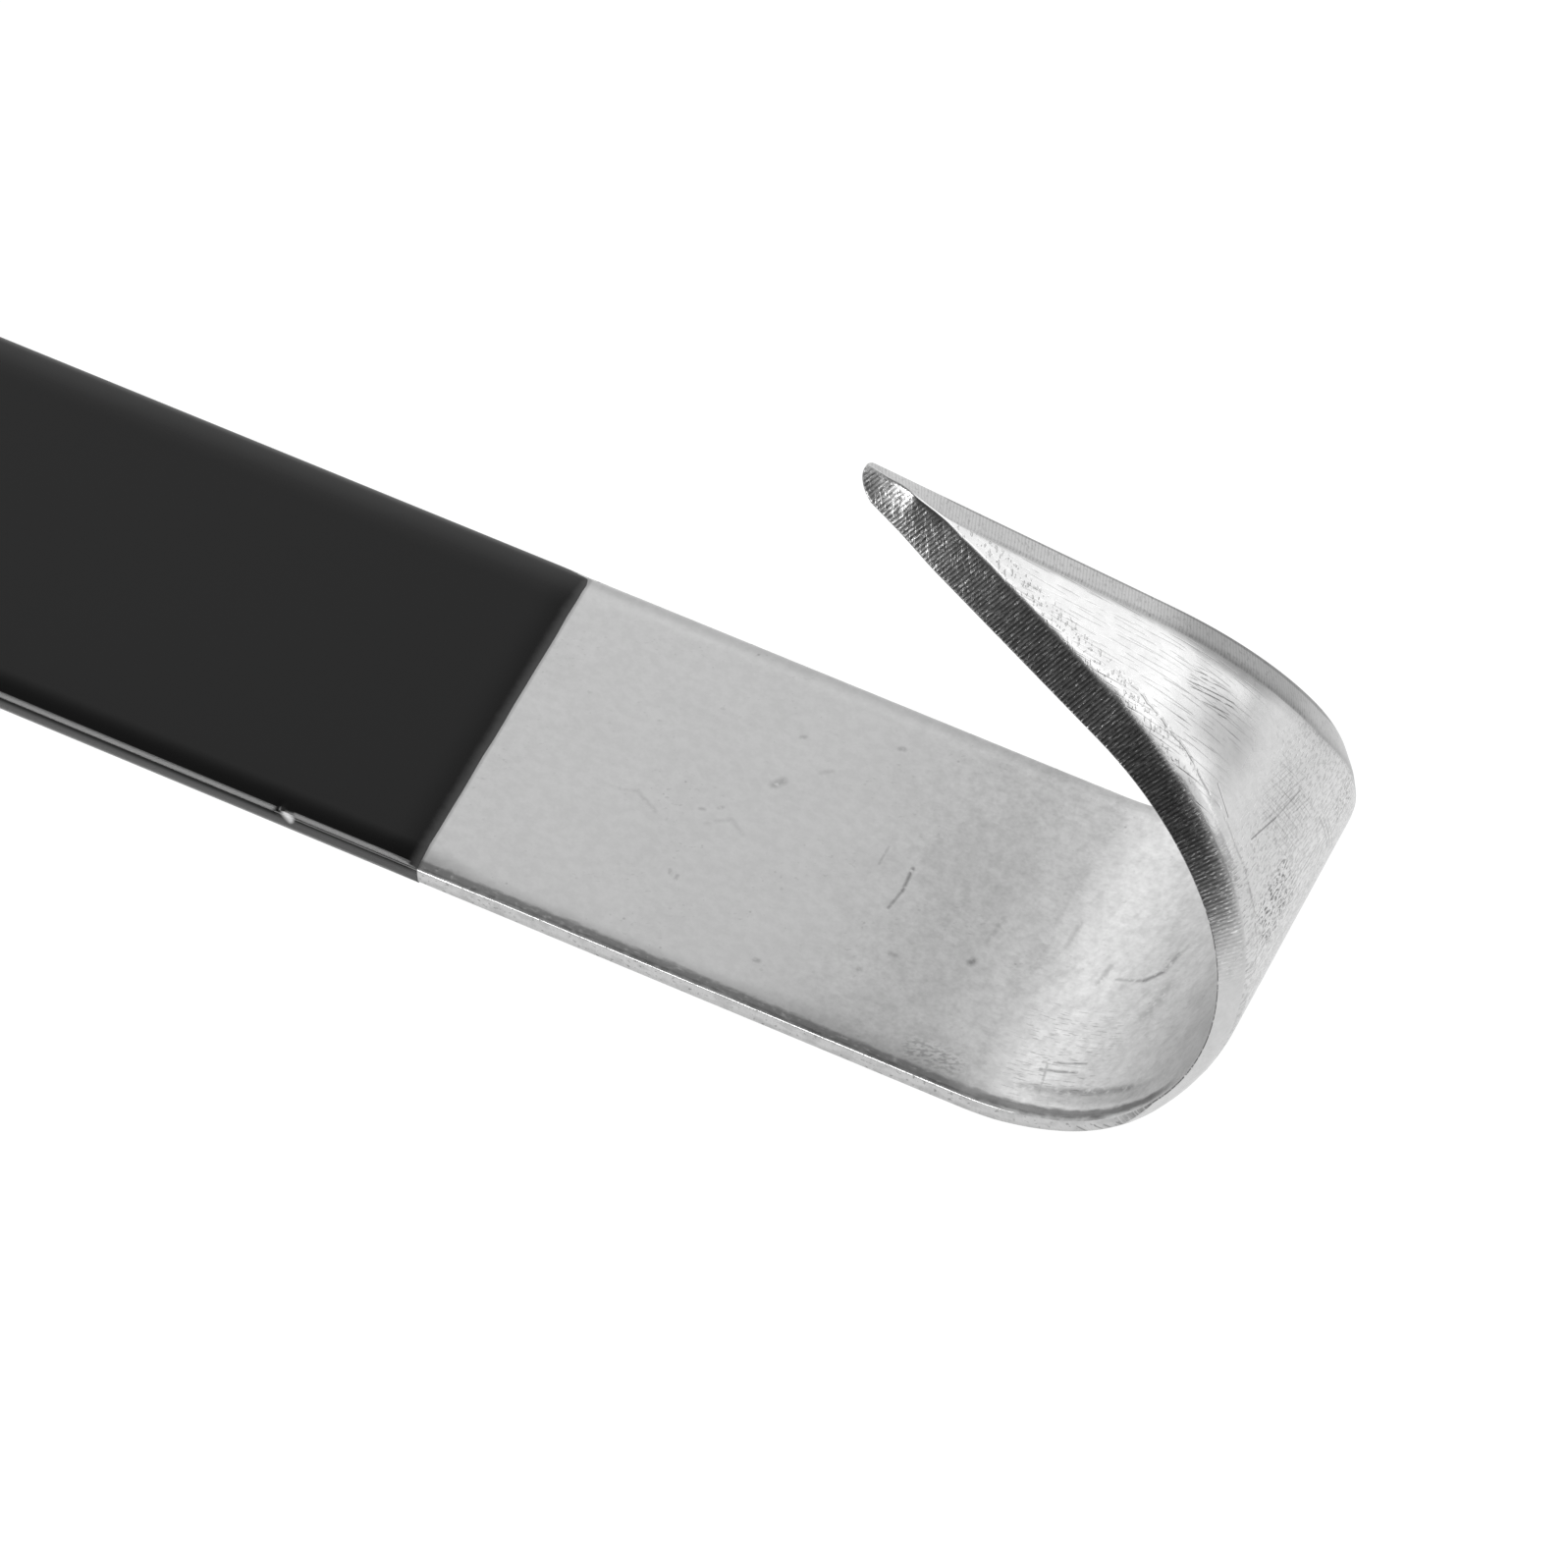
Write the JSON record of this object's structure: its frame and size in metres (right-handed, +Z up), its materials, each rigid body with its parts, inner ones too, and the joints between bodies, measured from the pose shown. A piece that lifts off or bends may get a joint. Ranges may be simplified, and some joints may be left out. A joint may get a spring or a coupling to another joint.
{
  "type": "hive tool",
  "caption": "Flat steel hive tool with a sharpened scraper end, a thin black grip coat and a tapered, bevelled claw bent back over the bar.",
  "frame": {"origin": "on the surface the tool rests on, under the middle of its overall length and width", "axes": "+X along the bar from the scraper edge to the claw, +Y across the bar, +Z up, out of the face that the claw bends over"},
  "size_m": [0.26, 0.0354, 0.053],
  "materials": {
    "stainless_steel": "tumbled and ground stainless steel, satin",
    "grip_coat": "smooth black vinyl coat, semi-matt"
  },
  "bodies": {
    "root": {"blade": "stainless_steel", "grip": "grip_coat"}
  },
  "joints": []
}
